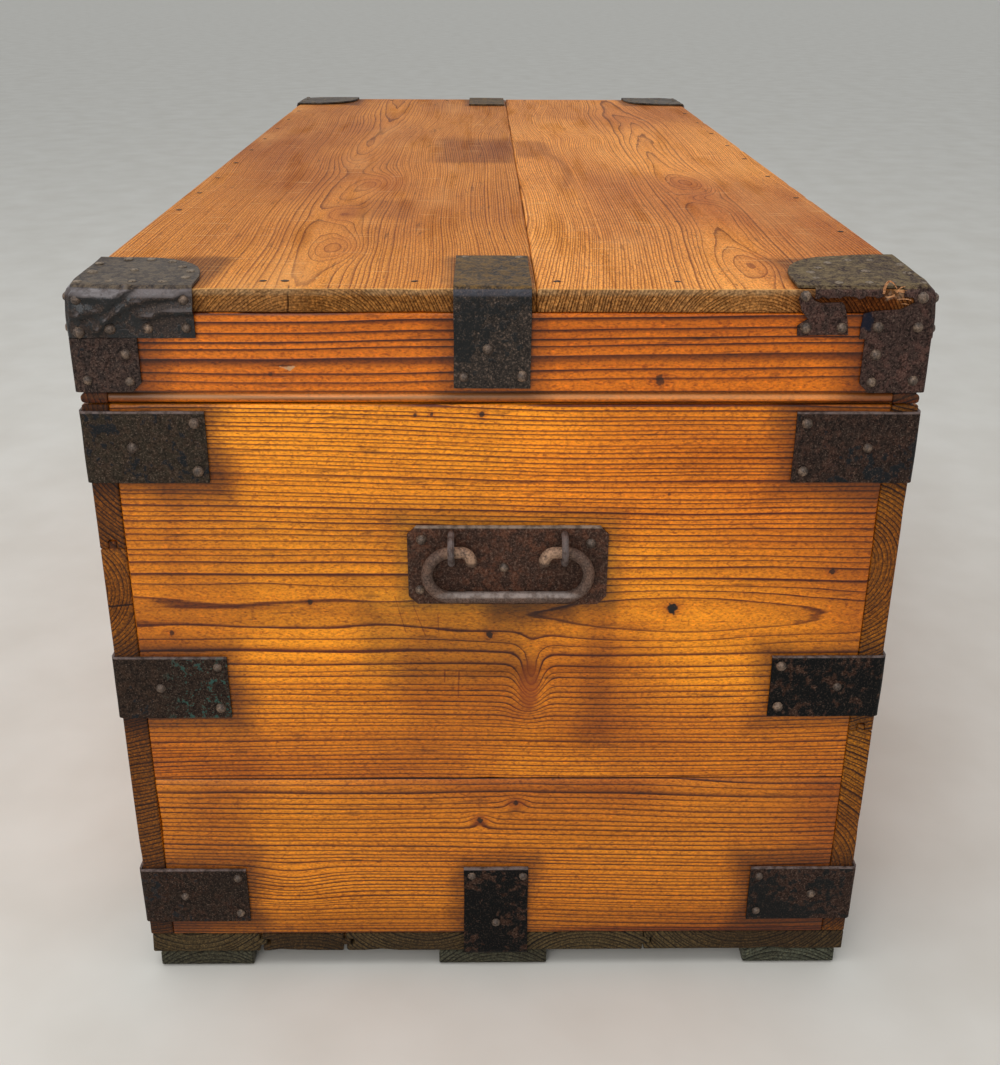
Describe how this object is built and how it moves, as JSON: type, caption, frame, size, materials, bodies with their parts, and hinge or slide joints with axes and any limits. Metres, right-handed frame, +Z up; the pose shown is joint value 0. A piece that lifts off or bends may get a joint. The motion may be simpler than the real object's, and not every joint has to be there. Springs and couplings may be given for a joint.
{
  "type": "campaign trunk",
  "caption": "Iron-bound pine trunk with a beaded hinged lid, folded corner caps, nailed straps, a let-in lock and a swinging bail handle at each end, standing on runners.",
  "frame": {"origin": "on the ground under the middle of the trunk, on the underside of the middle runner", "axes": "+Z up, X along the trunk, -Y out of the front (lock side), +Y out of the back (hinge side); the pictured end is the +X end"},
  "size_m": [1.2112, 0.5412, 0.5303],
  "materials": {
    "pine": "aged, waxed, worn",
    "lid_pine": "aged, waxed, scratched",
    "floor_pine": "bare, weathered",
    "runner_pine": "bare, weathered",
    "strap_iron": "rusted, with remains of black paint",
    "handle_iron": "rusted, worn bright at the grip",
    "fittings_iron": "dull"
  },
  "bodies": {
    "chest": {"front_upper": "pine", "front_lower": "pine", "back_upper": "pine", "back_lower": "pine", "end_right_upper": "pine", "end_right_lower": "pine", "end_left_upper": "pine", "end_left_lower": "pine", "floor_1": "floor_pine", "floor_2": "floor_pine", "floor_3": "floor_pine", "floor_4": "floor_pine", "floor_5": "floor_pine", "runner_front": "runner_pine", "runner_middle": "runner_pine", "runner_back": "runner_pine", "strap_front_right_upper": "strap_iron", "strap_front_right_middle": "strap_iron", "strap_front_right_lower": "strap_iron", "strap_front_left_upper": "strap_iron", "strap_front_left_middle": "strap_iron", "strap_front_left_lower": "strap_iron", "strap_back_right_upper": "strap_iron", "strap_back_right_middle": "strap_iron", "strap_back_right_lower": "strap_iron", "strap_back_left_upper": "strap_iron", "strap_back_left_middle": "strap_iron", "strap_back_left_lower": "strap_iron", "foot_strap_right": "strap_iron", "foot_strap_left": "strap_iron", "handle_plate_right": "handle_iron", "handle_plate_left": "handle_iron", "hinge_body_leaf_right": "fittings_iron", "hinge_body_leaf_left": "fittings_iron", "hinge_pin_right": "fittings_iron", "hinge_pin_left": "fittings_iron", "lock_case": "fittings_iron"},
    "lid": {"lid_rail_front": "pine", "lid_rail_back": "pine", "lid_rail_right": "pine", "lid_rail_left": "pine", "lid_top_front": "lid_pine", "lid_top_back": "lid_pine", "lid_strap_right": "strap_iron", "lid_strap_left": "strap_iron", "lid_cap_front_right": "strap_iron", "lid_cap_front_left": "strap_iron", "lid_cap_back_right": "strap_iron", "lid_cap_back_left": "strap_iron", "lid_cap_scrap": "strap_iron", "lid_angle_front_right": "strap_iron", "lid_angle_front_left": "strap_iron", "lid_angle_back_right": "strap_iron", "lid_angle_back_left": "strap_iron", "hinge_lid_leaf_right": "fittings_iron", "hinge_lid_leaf_left": "fittings_iron", "lock_link": "fittings_iron"},
    "bail_right": {"bail_right": "handle_iron"},
    "bail_left": {"bail_left": "handle_iron"},
    "lock_bolt": {"lock_bolt": "fittings_iron"}
  },
  "joints": [
    {"name": "lid_hinge", "type": "hinge", "parent": "chest", "child": "lid", "pos_m": [0, 0.2698, 0.4551], "axis": [-1, 0, 0], "range_deg": [0, 105]},
    {"name": "right_bail_swing", "type": "hinge", "parent": "chest", "child": "bail_right", "pos_m": [0.5943, 0.0045, 0.356], "axis": [0, -1, 0], "range_deg": [0, 180]},
    {"name": "left_bail_swing", "type": "hinge", "parent": "chest", "child": "bail_left", "pos_m": [-0.5943, 0.0045, 0.356], "axis": [0, 1, 0], "range_deg": [0, 180]},
    {"name": "bolt_slide", "type": "slide", "parent": "chest", "child": "lock_bolt", "axis": [1, 0, 0], "range_m": [0, 0.008]}
  ]
}
